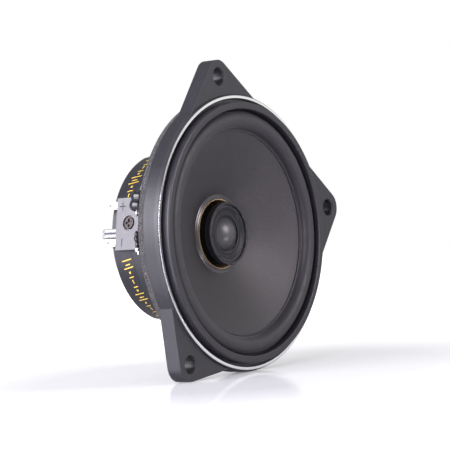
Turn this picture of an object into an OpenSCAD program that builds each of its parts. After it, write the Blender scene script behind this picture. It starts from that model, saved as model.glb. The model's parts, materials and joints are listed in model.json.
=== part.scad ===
// Coaxial car speaker, 100 mm class, for a three-screw door mount.
// The speaker's axis is Y: the cone faces -Y and the magnet is at +Y.
// The origin is on that axis, in the plane of the ears' rear faces. +Z is up, and angles
// run from +X towards +Z, as seen from the front. Every "y" is measured from that plane.

/* [Frame] */
// Outer radius of the basket's rim
rim_r = 51; // [50.8:0.1:51.2]
// Radius of the rim's front edge, where the bright ring starts
rim_front_r = 50.4; // [50.3:0.1:50.6]
// Thickness of the rim, from its front edge to the mounting plane
rim_depth = 6.9; // [6.8:0.1:7]
// Width of the bright ring's face
trim_width = 1.3; // [1.2:0.1:1.5]
// Distance of each ear's screw hole from the axis
ear_hole_circle_r = 57.8; // [57.5:0.1:58.5]
// Radius of each screw hole
ear_hole_r = 3; // [2.5:0.1:3.1]
// Radius of each ear's rounded tip
ear_tip_r = 6.1; // [5.8:0.1:6.3]
// Thickness of the ears
ear_thickness = 5.8; // [5:0.1:6]
// Outer radius of the round wall that drops into the door's hole
spigot_r = 45.2; // [45:0.1:45.3]
// Length of that wall behind the mounting plane
spigot_length = 5; // [4.5:0.1:5.5]
// Thickness of the foam gasket
gasket_thickness = 2.7; // [2:0.1:3]

/* [Cone and surround] */
// Radius of the cone's visible edge
cone_r = 38; // [37.8:0.1:38.1]
// Depth of the cone from its edge to its neck
cone_depth = 10.6; // [10.2:0.1:10.8]
// Thickness of the cone, measured along the axis
cone_wall = 0.7; // [0.6:0.1:0.8]
// Radius of the surround's crest
roll_crest_r = 41.4; // [41.3:0.1:41.5]
// Height of the surround's crest above the cone's edge
roll_height = 3.5; // [3:0.1:3.6]
// Thickness of the rubber surround
roll_wall = 0.5; // [0.4:0.1:0.6]
// Number of waves in the spider
spider_waves = 4; // [3:1:5]

/* [Motor] */
// Outer radius of the top plate, the magnet and the yoke
motor_r = 31.5; // [31.4:0.1:31.6]
// Thickness of the top plate
top_plate_thickness = 4; // [3.8:0.1:4.1]
// Thickness of the ring magnet
magnet_thickness = 5; // [4.8:0.1:5.2]
// Thickness of the yoke's plate at its rim
yoke_thickness = 3; // [2.8:0.1:3.2]
// Inner radius of the voice coil's former
coil_r = 12.7; // [12.6:0.05:12.75]
// Length of the coil's winding
coil_length = 8; // [7:0.5:8]

/* [Tweeter] */
// Outer radius of the tweeter's face ring
tweeter_r = 11.7; // [11.5:0.1:11.8]
// Radius of the dome
dome_r = 6.5; // [6.4:0.1:6.6]
// Height of the dome
dome_height = 3.3; // [3:0.1:3.5]

/* [Terminals] */
// Angle of the terminal block around the axis
block_angle = 168.6; // [168:0.1:169]
// Width of the terminal block across the motor's side
block_width = 19.2; // [18.8:0.1:19.6]
// Length of the terminal block along the axis
block_length = 10.3; // [10:0.1:10.5]
// Width of each spade terminal
spade_width = 2.8; // [2.8:0.1:3.2]

/* [Hidden] */
$fn = 96;

fit = 0.05;                 // gap between pieces that are glued or slide into each other

// Frame
ears = [97.5, 6.7, 230.8];   // angle of each ear's hole
ear_spread = 24.6;           // angle from an ear's hole to where it meets the rim
lip_y = -rim_depth + 0.25;   // front face of the rim's lip, round the bright ring
trim_front_y = -rim_depth - 0.1;
trim_back_y = trim_front_y + 1.1;
trim_inner_r = rim_front_r - trim_width;
shelf_y = -5.6;             // front face of the shelf that carries the surround
spigot_inner_r = 43.4;
clamp_outer_r = 47.9;
clamp_inner_r = 45.2;
clamp_top_y = -9.3;
gasket_inner_r = 46.2;
gasket_outer_r = 50;
ledge_y = 9;                // front face of the ledge that carries the spider
ledge_inner_r = 30.6;
ledge_outer_r = 34.5;
cup_inner_r = 31.9;
cup_outer_r = 33.2;
back_plate_y = 16.2;        // front face of the basket's back plate
leg_angle = 13;             // angle that each leg takes up
leg_count = 6;
vent_count = 12;
chamfer = 0.5;

// Motor
top_plate_y = 18.4;
magnet_y = top_plate_y + top_plate_thickness;
yoke_y = magnet_y + magnet_thickness;
motor_back_y = yoke_y + yoke_thickness;
yoke_bump_y = motor_back_y + 2;
pole_r = coil_r - 0.4;
pole_front_y = top_plate_y - 0.4;
plate_bore_r = coil_r + 1.25;
post_hole_r = 3;
nut_pocket_r = 5.6;
nut_pocket_depth = 2.4;
motor_screw_circle_r = 23;
label_thickness = 0.12;
label_y = 20.6;
label_start = 107;
label_end = 251;

// Cone and voice coil
cone_edge_y = -5;
cone_neck_r = 13;
former_wall = 0.2;
former_front_y = 4.4;
former_back_y = 24.6;
winding_wall = 0.5;
winding_y = 16.4;

// Tweeter
tweeter_front_y = 0.1;
dome_y = 2.3;               // plane of the dome's edge
post_flange_y = 15.4;
post_tube_r = post_hole_r;
post_bore_r = 1.7;
housing_r = 11.3;
housing_back_y = 11;
yoke_cup_r = 9.4;

// Terminals
block_face_x = 33.5;        // distance of the block's flat outer face from the axis
block_y = 16.3;
block_back_y = block_y + block_length;
block_shift = 0.3;          // how far the block's middle is from its screw
spade_offset = 6.85;
spade_x = 32.3;
spade_thickness = 0.6;
spade_front_y = 14.3;
spade_back_y = 33.2;
screw_y = 20.8;
wire_r = 0.8;
wire_offsets = [2.45, 4.3]; // the two wires, from the block's middle towards the - spade
lead_r = 0.45;
capacitor_r = 3;
capacitor_length = 7.4;
capacitor_x = 38.3;
capacitor_y = 13.2;
capacitor_angle = 158.3;

// ---- helpers ----

// Turns a profile of [radius, y] points round the speaker's axis
module turned(profile) rotate([-90, 0, 0]) rotate_extrude() polygon(profile);

// A round bar or hole along the speaker's axis
module bar(r, y0, y1, x = 0, z = 0)
    translate([x, y0, z]) rotate([-90, 0, 0]) cylinder(r = r, h = y1 - y0);

// A flat plate between two y planes, from an outline in X and Z
module plate(y0, y1) translate([0, y1, 0]) rotate([90, 0, 0]) linear_extrude(y1 - y0) children();

// Puts what is modelled on the +X side at an angle round the axis
module at_angle(a) rotate([0, -a, 0]) children();

function polar(r, a) = [r * cos(a), r * sin(a)];
function unit(v) = v / norm(v);

// Direction from a circle's centre to where the line from p touches it, on side 1 or -1
function touch_angle(p, centre, r, side) =
    let (to_p = p - centre) atan2(to_p.y, to_p.x) + side * acos(r / norm(to_p));

// A smooth curve through a list of points, with `steps` pieces between neighbours
function smooth(p, steps) = let (last = len(p) - 1) concat(
    [for (i = [0 : last - 1], s = [0 : steps - 1])
        let (a = p[max(i - 1, 0)], b = p[i], c = p[i + 1], d = p[min(i + 2, last)], t = s / steps)
        0.5 * (2 * b + (c - a) * t + (2 * a - 5 * b + 4 * c - d) * t * t
            + (3 * b - a - 3 * c + d) * t * t * t)],
    [p[last]]);

function carried(n, directions, i = 0) = i >= len(directions) ? [] :
    let (m = unit(n - (n * directions[i]) * directions[i])) concat([m], carried(m, directions, i + 1));

// A round wire that follows a list of points
module wire(path, r, sides = 8) {
    last = len(path) - 1;
    directions = [for (i = [0 : last]) unit(path[min(i + 1, last)] - path[max(i - 1, 0)])];
    sideways = carried([0.31, 0.17, 0.93], directions);
    rings = [for (i = [0 : last], k = [0 : sides - 1])
        path[i] + r * (cos(360 * k / sides) * sideways[i]
            + sin(360 * k / sides) * cross(directions[i], sideways[i]))];
    walls = [for (i = [0 : last - 1], k = [0 : sides - 1])
        let (n = (k + 1) % sides) [i * sides + k, (i + 1) * sides + k, (i + 1) * sides + n, i * sides + n]];
    polyhedron(rings, concat(walls, [[for (k = [0 : sides - 1]) k]],
        [[for (k = [sides - 1 : -1 : 0]) last * sides + k]]), convexity = 6);
}

// A point on a wire's route: radius, angle and y
function at(r, a, y) = [r * cos(a), y, r * sin(a)];

// A round recess for a cross-head driver
module cross_recess(size, depth) for (a = [0, 90])
    rotate([a, 0, 0]) translate([-depth, -size / 2, -size / 7]) cube([depth + 1, size, size / 3.5]);

// ---- basket, rim and gasket ----

module ear_outline(ear) {
    steps = 20;
    centre = polar(ear_hole_circle_r, ear);
    foot_a = polar(rim_r - 0.8, ear - ear_spread);
    foot_b = polar(rim_r - 0.8, ear + ear_spread);
    start = touch_angle(foot_a, centre, ear_tip_r, 1);
    sweep = (touch_angle(foot_b, centre, ear_tip_r, -1) - start + 720) % 360;
    tip = [for (i = [0 : steps]) centre + polar(ear_tip_r, start + sweep * i / steps)];
    polygon(concat([polar(rim_r - 3, ear - ear_spread), foot_a], tip,
        [foot_b, polar(rim_r - 3, ear + ear_spread)]));
}

module leg_window(i) {
    middle = block_angle + (i + 0.5) * 360 / leg_count;
    half = (360 / leg_count - leg_angle) / 2;
    reach = 60;
    plate(2, ledge_y + 3) intersection() {
        difference() {
            circle(r = spigot_inner_r - 0.4);
            circle(r = ledge_outer_r - 0.4);
        }
        polygon([[0, 0], polar(reach, middle - half), polar(reach, middle), polar(reach, middle + half)]);
    }
}

module basket() color([0.13, 0.13, 0.14]) difference() {
    union() {
        // rim, spigot, sloping legs' wall, spider ledge and cup, turned as one wall
        turned([
            [spigot_inner_r, shelf_y], [trim_inner_r, shelf_y], [trim_inner_r, trim_back_y],
            [rim_front_r, trim_back_y], [rim_front_r, lip_y], [rim_front_r + 0.15, lip_y],
            [rim_r, shelf_y + 0.3], [rim_r, -0.3], [rim_r - 0.3, 0], [spigot_r, 0],
            [spigot_r, spigot_length], [ledge_outer_r, ledge_y + 2], [cup_outer_r, ledge_y + 2.6],
            [cup_outer_r, top_plate_y + 1.5], [motor_r + fit, top_plate_y + 1.5],
            [motor_r + fit, top_plate_y], [plate_bore_r + 1.8, top_plate_y],
            [plate_bore_r + 1.8, back_plate_y], [cup_inner_r, back_plate_y],
            [cup_inner_r, ledge_y + 2.2], [ledge_inner_r, ledge_y + 1.5], [ledge_inner_r, ledge_y],
            [ledge_outer_r - 0.6, ledge_y], [spigot_inner_r, spigot_length - 2.4]
        ]);
        for (ear = ears) plate(-ear_thickness, 0) difference() {
            ear_outline(ear);
            circle(r = rim_front_r - 0.9);
        }
        // a stiffening rib on each leg
        for (i = [0 : leg_count - 1]) at_angle(block_angle + i * 360 / leg_count)
            plate_rib();
    }
    for (i = [0 : leg_count - 1]) leg_window(i);
    // vents in the cup's wall, under the spider
    for (i = [0 : vent_count - 1]) at_angle(block_angle + (i + 0.5) * 360 / vent_count)
        translate([cup_inner_r - 1, ledge_y + 3, -4.5]) cube([4, 3.6, 9]);
    // screw holes in the ears, eased at the front
    for (ear = ears) {
        p = polar(ear_hole_circle_r, ear);
        bar(ear_hole_r, -rim_depth, 1, p.x, p.y);
        translate([p.x, -ear_thickness - 0.01, p.y]) rotate([-90, 0, 0])
            cylinder(r1 = ear_hole_r + chamfer, r2 = ear_hole_r, h = chamfer);
    }
    // a flat seat for the terminal block
    at_angle(block_angle) translate([29, block_y - fit, block_shift - block_width / 2 - fit])
        cube([9, block_length + 2, block_width + 2 * fit]);
    // notches for the spades' front ends
    for (side = [-1, 1]) at_angle(block_angle) translate([spade_x - spade_thickness / 2 - fit,
            spade_front_y - fit, side * spade_offset - spade_width / 2 - fit])
        cube([3, block_y - spade_front_y + 1, spade_width + 2 * fit]);
    // screw holes in the back plate
    for (a = [45 : 90 : 315]) {
        p = polar(motor_screw_circle_r, block_angle + a);
        bar(1.6, back_plate_y - 1, top_plate_y + 1, p.x, p.y);
    }
}

module plate_rib() translate([0, 0, -1.1]) linear_extrude(2.2) polygon([
    [spigot_r - 1, spigot_length - 0.6], [spigot_r - 0.1, spigot_length - 0.2],
    [ledge_outer_r + 1.4, ledge_y + 3], [cup_outer_r + 0.9, ledge_y + 5],
    [cup_outer_r + 0.9, back_plate_y - 0.4], [cup_outer_r - 0.8, back_plate_y - 0.4],
    [cup_outer_r - 0.8, ledge_y + 1]
]);

module trim_ring() color([0.85, 0.85, 0.86]) turned([
    [trim_inner_r + fit, trim_back_y], [trim_inner_r + fit, trim_front_y + 0.2],
    [trim_inner_r + 0.25, trim_front_y], [rim_front_r - 0.2, trim_front_y],
    [rim_front_r - fit, trim_front_y + 0.15], [rim_front_r - fit, trim_back_y]
]);

module surround_clamp_ring() color([0.08, 0.08, 0.09]) turned([
    [clamp_inner_r, shelf_y - roll_wall], [clamp_inner_r, clamp_top_y + 0.35],
    [clamp_inner_r + 0.15, clamp_top_y + 0.1], [clamp_inner_r + 0.45, clamp_top_y],
    [clamp_outer_r - 0.6, clamp_top_y + 0.05], [clamp_outer_r - 0.25, clamp_top_y + 0.15],
    [clamp_outer_r - 0.05, clamp_top_y + 0.4], [clamp_outer_r, clamp_top_y + 0.8],
    [clamp_outer_r, shelf_y - roll_wall]
]);

module rear_foam_gasket() color([0.16, 0.16, 0.16]) turned([
    [gasket_inner_r, 0], [gasket_outer_r, 0], [gasket_outer_r, gasket_thickness],
    [gasket_inner_r, gasket_thickness]
]);

// ---- cone, surround and spider ----

// Front surface of the cone: nearly straight, a little flatter at the edge
function cone_y(r) = cone_edge_y
    + cone_depth * pow((cone_r - r) / (cone_r - cone_neck_r), 1.08);

module cone() color([0.17, 0.17, 0.18]) {
    steps = 12;
    front = [for (i = [0 : steps]) let (r = cone_neck_r + i * (cone_r - cone_neck_r) / steps) [r, cone_y(r)]];
    back = [for (i = [steps : -1 : 0]) let (r = cone_neck_r + i * (cone_r - cone_neck_r) / steps)
        [r, cone_y(r) + cone_wall]];
    turned(concat(front, [[cone_r + 0.9, cone_edge_y], [cone_r + 0.9, cone_edge_y + cone_wall]], back));
}

module surround() color([0.07, 0.07, 0.08]) {
    steps = 14;
    land_y = shelf_y - roll_wall;
    half_in = roll_crest_r - cone_r - 0.3;
    half_out = clamp_inner_r - 0.8 - roll_crest_r;
    outer = [for (i = [0 : steps]) let (a = 180 * i / steps,
            w = a < 90 ? half_in : half_out, foot = a < 90 ? cone_edge_y - roll_wall : land_y)
        [roll_crest_r - w * cos(a), foot - (foot - cone_edge_y + roll_height) * sin(a)]];
    inner = [for (i = [steps : -1 : 0]) let (a = 180 * i / steps,
            w = (a < 90 ? half_in : half_out) - roll_wall,
            foot = a < 90 ? cone_edge_y - 0.02 : shelf_y - 0.02)
        [roll_crest_r - w * cos(a), foot - (foot - cone_edge_y + roll_height - roll_wall) * sin(a)]];
    turned(concat([[cone_r - 0.5, cone_edge_y - 0.02], [cone_r - 0.5, cone_edge_y - 0.3]], outer,
        [[clamp_outer_r - 0.2, land_y + 0.02], [clamp_outer_r - 0.2, shelf_y - 0.02]], inner));
}

module spider() color([0.78, 0.62, 0.3]) {
    start_r = 14.4;
    end_r = 30;
    steps = spider_waves * 8;
    cloth = 0.35;
    wave = 0.85;
    mid_y = ledge_y - cloth - 0.05;
    line = [for (i = [0 : steps]) let (t = i / steps)
        [start_r + t * (end_r - start_r), mid_y + wave * sin(360 * spider_waves * t)]];
    turned(concat(
        [[coil_r + former_wall + 0.02, mid_y]], line, [[ledge_outer_r - 1, mid_y]],
        [[ledge_outer_r - 1, mid_y + cloth]],
        [for (i = [steps : -1 : 0]) line[i] + [0, cloth]],
        [[coil_r + former_wall + 0.02, mid_y + cloth]]));
}

module voice_coil_former() color([0.72, 0.42, 0.12]) turned([
    [coil_r, former_front_y], [coil_r + former_wall, former_front_y],
    [coil_r + former_wall, former_back_y], [coil_r, former_back_y]
]);

module voice_coil() color([0.72, 0.38, 0.2]) turned([
    [coil_r + former_wall + 0.01, winding_y], [coil_r + former_wall + winding_wall, winding_y],
    [coil_r + former_wall + winding_wall, winding_y + coil_length],
    [coil_r + former_wall + 0.01, winding_y + coil_length]
]);

// A bead of glue in the corner between the former and the cone's neck
module neck_glue_ring() color([0.1, 0.1, 0.11]) {
    inner_r = coil_r + former_wall + 0.02;
    turned([
        [inner_r, cone_y(cone_neck_r) - 0.03], [inner_r, former_front_y + 0.25],
        [inner_r + 0.45, former_front_y + 0.1], [inner_r + 1, former_front_y + 0.3],
        [inner_r + 1.5, cone_y(inner_r + 1.5) - 0.3], [inner_r + 1.8, cone_y(inner_r + 1.8) - 0.03]
    ]);
}

// ---- motor ----

module top_plate() color([0.7, 0.71, 0.73]) difference() {
    turned([
        [plate_bore_r, top_plate_y], [motor_r - 0.2, top_plate_y], [motor_r, top_plate_y + 0.2],
        [motor_r, magnet_y], [plate_bore_r, magnet_y]
    ]);
    for (a = [45 : 90 : 315]) {
        p = polar(motor_screw_circle_r, block_angle + a);
        bar(1.5 + fit, top_plate_y - 1, top_plate_y + 3.4, p.x, p.y);
    }
    at_angle(block_angle) translate([motor_r - 5.5, screw_y, 0]) rotate([0, 90, 0])
        cylinder(r = 1.25 + fit, h = 8);
}

module magnet() color([0.2, 0.2, 0.21]) turned([
    [plate_bore_r + 3, magnet_y], [motor_r, magnet_y], [motor_r, yoke_y], [plate_bore_r + 3, yoke_y]
]);

module t_yoke() color([0.72, 0.73, 0.75]) difference() {
    turned([
        [0, pole_front_y], [pole_r - 0.3, pole_front_y], [pole_r, pole_front_y + 0.3],
        [pole_r, yoke_y + 1.6], [plate_bore_r + 0.9, yoke_y + 1.6], [plate_bore_r + 0.9, yoke_y],
        [motor_r, yoke_y], [motor_r, motor_back_y - 0.4], [motor_r - 0.4, motor_back_y],
        [23, motor_back_y], [21, yoke_bump_y - 0.3], [20.4, yoke_bump_y], [0, yoke_bump_y]
    ]);
    bar(post_hole_r + fit, pole_front_y - 1, yoke_bump_y + 1);
    bar(nut_pocket_r, yoke_bump_y - nut_pocket_depth, yoke_bump_y + 1);
}

module magnet_label() color([0.06, 0.06, 0.07]) difference() {
    rotate([-90, 0, 0]) translate([0, 0, label_y]) rotate([0, 0, -label_end])
        rotate_extrude(angle = label_end - label_start) translate([motor_r + 0.01, 0])
            square([label_thickness, motor_back_y - label_y - 0.4]);
    at_angle(block_angle) translate([motor_r - 2, screw_y, 0]) rotate([0, 90, 0]) cylinder(r = 1.5, h = 4);
}

module motor_screws() color([0.55, 0.56, 0.58]) for (a = [45 : 90 : 315]) {
    p = polar(motor_screw_circle_r, block_angle + a);
    difference() {
        union() {
            bar(1.5, back_plate_y - 0.5, top_plate_y + 3, p.x, p.y);
            bar(2.7, back_plate_y - 1.5, back_plate_y, p.x, p.y);
        }
        translate([p.x, back_plate_y - 1.5, p.y]) rotate([0, 0, -90]) cross_recess(3, 0.8);
    }
}

// ---- terminal block ----

module terminal_block() color([0.4, 0.4, 0.43]) at_angle(block_angle) difference() {
    translate([29.5, block_y, block_shift - block_width / 2])
        cube([block_face_x - 29.5, block_length, block_width]);
    bar(motor_r + label_thickness + fit, block_y - 1, block_back_y + 1);
    // recess and hole for the screw
    translate([block_face_x - 1, screw_y, 0]) rotate([0, 90, 0]) cylinder(r = 2.7, h = 3);
    translate([28, screw_y, 0]) rotate([0, 90, 0]) cylinder(r = 1.25 + fit, h = 8);
    // slots for the spades
    for (side = [-1, 1]) translate([spade_x - spade_thickness / 2 - 0.02, block_y - 1,
            side * spade_offset - spade_width / 2 - 0.02])
        cube([spade_thickness + 0.04, block_length + 2, spade_width + 0.04]);
    // two holes for the tweeter's wires
    for (z = wire_offsets) bar(wire_r + 0.02, block_back_y - 4, block_back_y + 1, 32.5, z);
    // polarity marks, cut 0.3 deep
    for (a = [0, 90]) translate([block_face_x, block_back_y - 2.7, -6.2]) rotate([a, 0, 0])
        translate([-0.3, -1.4, -0.18]) cube([1, 2.8, 0.36]);
    translate([block_face_x - 0.3, block_back_y - 3.2, 7 - 1.4]) cube([1, 0.36, 2.8]);
}

module terminal_screw() color([0.5, 0.5, 0.52]) at_angle(block_angle) difference() {
    union() {
        translate([motor_r - 4.5, screw_y, 0]) rotate([0, 90, 0]) cylinder(r = 1.25, h = 6);
        translate([block_face_x - 1, screw_y, 0]) rotate([0, 90, 0]) cylinder(r1 = 2.2, r2 = 2, h = 0.9);
    }
    translate([block_face_x - 0.1, screw_y, 0]) cross_recess(3, 0.7);
}

module spade(side) at_angle(block_angle) difference() {
    translate([spade_x - spade_thickness / 2, 0, side * spade_offset]) rotate([90, 0, 90])
        linear_extrude(spade_thickness) polygon([
            [spade_front_y, -spade_width / 2], [spade_back_y - 0.8, -spade_width / 2],
            [spade_back_y, -spade_width / 2 + 0.7], [spade_back_y, spade_width / 2 - 0.7],
            [spade_back_y - 0.8, spade_width / 2], [spade_front_y, spade_width / 2]
        ]);
    translate([spade_x - 2, spade_back_y - 2.6, side * spade_offset]) rotate([0, 90, 0])
        cylinder(r = 0.6, h = 4);
}

module positive_terminal() color([0.87, 0.85, 0.76]) spade(-1);

module negative_terminal() color([0.87, 0.85, 0.76]) spade(1);

module crossover_capacitor() color([0.05, 0.05, 0.06]) at_angle(capacitor_angle)
    translate([capacitor_x, capacitor_y, -capacitor_length / 2]) rotate_extrude() polygon([
        [0, 0], [capacitor_r - 0.6, 0], [capacitor_r, 0.6], [capacitor_r, capacitor_length / 2 - 0.9],
        [capacitor_r - 0.6, capacitor_length / 2 - 0.2], [capacitor_r - 0.6, capacitor_length / 2 + 0.2],
        [capacitor_r, capacitor_length / 2 + 0.9], [capacitor_r, capacitor_length - 0.6],
        [capacitor_r - 0.6, capacitor_length], [0, capacitor_length]
    ]);

// The capacitor's two bare leads, bent to the spade and to the tweeter's wires
module capacitor_leads() color([0.75, 0.75, 0.76]) {
    at_angle(capacitor_angle) wire(smooth([
        [capacitor_x, capacitor_y, capacitor_length / 2 + 0.05], [capacitor_x, capacitor_y, 4.5],
        [37.5, 13.6, 5.2], [35.7, 14.2, 4], [34.5, 14.6, 1.8], [34.04, 14.8, -0.06]], 3), 0.3);
    at_angle(capacitor_angle) wire(smooth([
        [capacitor_x, capacitor_y, -capacitor_length / 2 - 0.05], [capacitor_x - 0.2, 13.3, -4.8],
        [36.8, 13.9, -7.4], [34.94, 14.6, -10.32]], 3), 0.3);
}

// Braided leads from the spades, through a window of the basket, to the back of the cone
module tinsel_lead(points) color([0.6, 0.6, 0.62]) wire(smooth(points, 4), lead_r);

module positive_tinsel_lead() tinsel_lead([
    at(33.8, 156.9, 14.9), at(34.3, 155, 12.6), at(36.2, 149.6, 9), at(37, 144, 6.2), at(35, 138, 4.2),
    at(31, 134, 3.6), at(26, 132, 4.4), at(21.5, 131, 5.1), at(19, 131, 4.75)]);

module negative_tinsel_lead() tinsel_lead([
    at(33.8, 180.3, 14.9), at(34.3, 182.2, 12.6), at(36.2, 187.6, 9), at(37, 193.2, 6.2),
    at(35, 199.4, 4.2), at(31, 203.4, 3.6), at(26, 205.4, 4.4), at(21.5, 206.4, 5.1), at(19, 206.4, 4.75)]);

// Two wires from the block, across the back of the yoke and up the hollow post to the tweeter
module tweeter_wires() color([0.75, 0.75, 0.76]) for (side = [-1, 1]) {
    offset = wire_offsets[side < 0 ? 0 : 1];
    at_angle(block_angle) wire(smooth([
        [32.5, block_back_y - 3.5, offset], [32.5, 29.5, offset], [32.5, 32, offset], [32, 33.2, offset],
        [30.6, 33.6, offset], [26, 33.6, offset * 0.9 + side * 0.2], [12, 33.6, side * 0.9 + 0.8],
        [3, 33.6, side * (wire_r + 0.04)], [1, 33.1, side * (wire_r + 0.04)], [0, 32, side * (wire_r + 0.04)], [0, 29, side * (wire_r + 0.04)],
        [0, 20, side * (wire_r + 0.04)], [0, 12.4, side * (wire_r + 0.04)]], 3), wire_r - 0.02);
}

// ---- tweeter ----

module tweeter_post() color([0.15, 0.15, 0.16]) difference() {
    turned([
        [0, housing_back_y + 1], [4.4, housing_back_y + 1], [4.4, post_flange_y],
        [9.6, post_flange_y + 0.6], [9.6, pole_front_y - 0.02], [post_tube_r, pole_front_y - 0.02],
        [post_tube_r, yoke_bump_y - 0.1], [0, yoke_bump_y - 0.1]
    ]);
    bar(post_bore_r, 0, 40);
}

module tweeter_post_nut() color([0.7, 0.7, 0.72]) difference() {
    translate([0, yoke_bump_y - nut_pocket_depth + 0.02, 0]) rotate([-90, 0, 0])
        cylinder(r = 5.4, h = 2, $fn = 6);
    bar(post_tube_r + fit, 0, 40);
}

module tweeter_housing() color([0.09, 0.09, 0.1]) difference() {
    turned([
        [0, 2.62], [housing_r, 2.62], [housing_r, 8.4], [housing_r - 1.4, housing_back_y],
        [5.6, housing_back_y], [5.6, housing_back_y + 1.6], [0, housing_back_y + 1.6]
    ]);
    // room for the tweeter's motor
    bar(yoke_cup_r + fit, 0, 9.1);
    bar(post_bore_r, 0, 40);
    bar(4.4 + fit, housing_back_y + 1 - fit, 40);
}

module tweeter_face_ring() color([0.1, 0.1, 0.11]) turned([
    [tweeter_r - 0.3, 2.6], [8, 2.6], [8, dome_y - 0.25], [dome_r + 0.45, dome_y - 0.45],
    [dome_r + 0.4, dome_y - 0.95], [dome_r + 0.75, dome_y - 1.1], [8.2, 1.35], [9.6, 0.85],
    [10, 0.8], [10.05, 1.2], [10.55, 1.2], [10.6, 0.4], [10.85, tweeter_front_y],
    [tweeter_r - 0.25, tweeter_front_y], [tweeter_r, tweeter_front_y + 0.35], [tweeter_r, 1.9]
]);

module tweeter_suspension() color([0.07, 0.07, 0.07]) {
    steps = 6;
    roll = [for (i = [0 : steps]) let (a = 180 * i / steps)
        [7.25 - 0.45 * cos(a), dome_y + 0.1 - 0.3 * sin(a)]];
    turned(concat([[dome_r + 0.22, dome_y + 0.1]], roll, [[7.95, dome_y + 0.1], [7.95, dome_y + 0.25]],
        [for (i = [steps : -1 : 0]) roll[i] + [0, 0.15]], [[dome_r + 0.22, dome_y + 0.25]]));
}

module tweeter_yoke() color([0.6, 0.6, 0.62]) difference() {
    turned([
        [post_bore_r, 9], [post_bore_r, 7.6], [dome_r + 0.65, 7.6], [dome_r + 0.65, 2.65],
        [yoke_cup_r, 2.65], [yoke_cup_r, 9]
    ]);
}

module tweeter_magnet() color([0.66, 0.67, 0.69]) bar(5.5, 4.6, 7.58);

module tweeter_pole_washer() color([0.6, 0.6, 0.62]) bar(dome_r - 0.7, 3.2, 4.58);

function dome_radius() = (dome_r * dome_r + dome_height * dome_height) / (2 * dome_height);

module tweeter_dome() color([0.06, 0.06, 0.07]) {
    steps = 10;
    wall = 0.12;
    big = dome_radius();
    half = asin(dome_r / big);
    turned(concat(
        [for (i = [0 : steps]) let (a = half * i / steps)
            [big * sin(a), dome_y - dome_height + big - big * cos(a)]],
        [[dome_r + 0.2, dome_y], [dome_r + 0.2, dome_y + 0.15]],
        [for (i = [steps : -1 : 0]) let (a = half * i / steps)
            [(big - wall) * sin(a), dome_y - dome_height + big - (big - wall) * cos(a)]]));
}

module tweeter_coil_former() color([0.72, 0.42, 0.12]) turned([
    [dome_r - 0.35, dome_y + 0.16], [dome_r - 0.2, dome_y + 0.16], [dome_r - 0.2, dome_y + 2.8],
    [dome_r - 0.35, dome_y + 2.8]
]);

module tweeter_coil() color([0.72, 0.38, 0.2]) turned([
    [dome_r - 0.19, dome_y + 0.8], [dome_r + 0.15, dome_y + 0.8], [dome_r + 0.15, dome_y + 2.6],
    [dome_r - 0.19, dome_y + 2.6]
]);

basket();
trim_ring();
surround_clamp_ring();
rear_foam_gasket();
surround();
spider();
top_plate();
magnet();
t_yoke();
magnet_label();
motor_screws();
terminal_block();
terminal_screw();
positive_terminal();
negative_terminal();
crossover_capacitor();
capacitor_leads();
positive_tinsel_lead();
negative_tinsel_lead();
tweeter_wires();
tweeter_post();
tweeter_post_nut();
tweeter_housing();
tweeter_face_ring();
tweeter_yoke();
tweeter_magnet();
tweeter_pole_washer();
tweeter_suspension();
cone();
voice_coil_former();
voice_coil();
neck_glue_ring();
tweeter_dome();
tweeter_coil_former();
tweeter_coil();
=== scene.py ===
"""Looks of a coaxial car speaker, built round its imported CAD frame.

Sizes are in millimetres until a piece is made, and the cone faces -Y. Angles run from +X
towards +Z round the speaker's axis, as in the CAD.
"""
import itertools
import json
import math

import bpy
import numpy as np
from mathutils import Matrix, Vector, noise

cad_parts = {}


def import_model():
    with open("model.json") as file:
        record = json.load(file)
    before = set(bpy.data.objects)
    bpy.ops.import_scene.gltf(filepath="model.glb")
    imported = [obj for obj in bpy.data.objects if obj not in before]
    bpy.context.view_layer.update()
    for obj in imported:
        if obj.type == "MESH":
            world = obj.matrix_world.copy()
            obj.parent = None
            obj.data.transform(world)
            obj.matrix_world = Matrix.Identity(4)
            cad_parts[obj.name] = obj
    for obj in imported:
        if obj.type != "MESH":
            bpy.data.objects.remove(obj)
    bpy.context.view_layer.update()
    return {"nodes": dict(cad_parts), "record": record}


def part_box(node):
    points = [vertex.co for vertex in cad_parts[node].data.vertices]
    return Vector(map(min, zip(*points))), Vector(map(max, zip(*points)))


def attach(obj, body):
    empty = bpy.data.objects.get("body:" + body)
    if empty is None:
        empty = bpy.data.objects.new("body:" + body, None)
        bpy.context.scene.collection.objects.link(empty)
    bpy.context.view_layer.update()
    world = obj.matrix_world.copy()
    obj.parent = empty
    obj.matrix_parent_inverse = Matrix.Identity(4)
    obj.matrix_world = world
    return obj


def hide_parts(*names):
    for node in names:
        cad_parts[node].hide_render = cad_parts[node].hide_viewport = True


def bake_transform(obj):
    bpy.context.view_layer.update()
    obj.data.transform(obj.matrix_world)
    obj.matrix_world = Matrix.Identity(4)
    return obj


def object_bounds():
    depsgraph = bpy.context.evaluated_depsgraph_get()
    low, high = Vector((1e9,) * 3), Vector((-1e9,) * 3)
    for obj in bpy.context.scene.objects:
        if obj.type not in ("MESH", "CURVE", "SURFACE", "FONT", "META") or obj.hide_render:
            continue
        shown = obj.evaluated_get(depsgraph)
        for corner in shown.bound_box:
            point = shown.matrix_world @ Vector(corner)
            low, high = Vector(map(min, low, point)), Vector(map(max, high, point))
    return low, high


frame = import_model()
nodes = frame["nodes"]
MM = 0.001
CHASSIS, CONE, DOME = "chassis", "cone_assembly", "tweeter_diaphragm"

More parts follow.
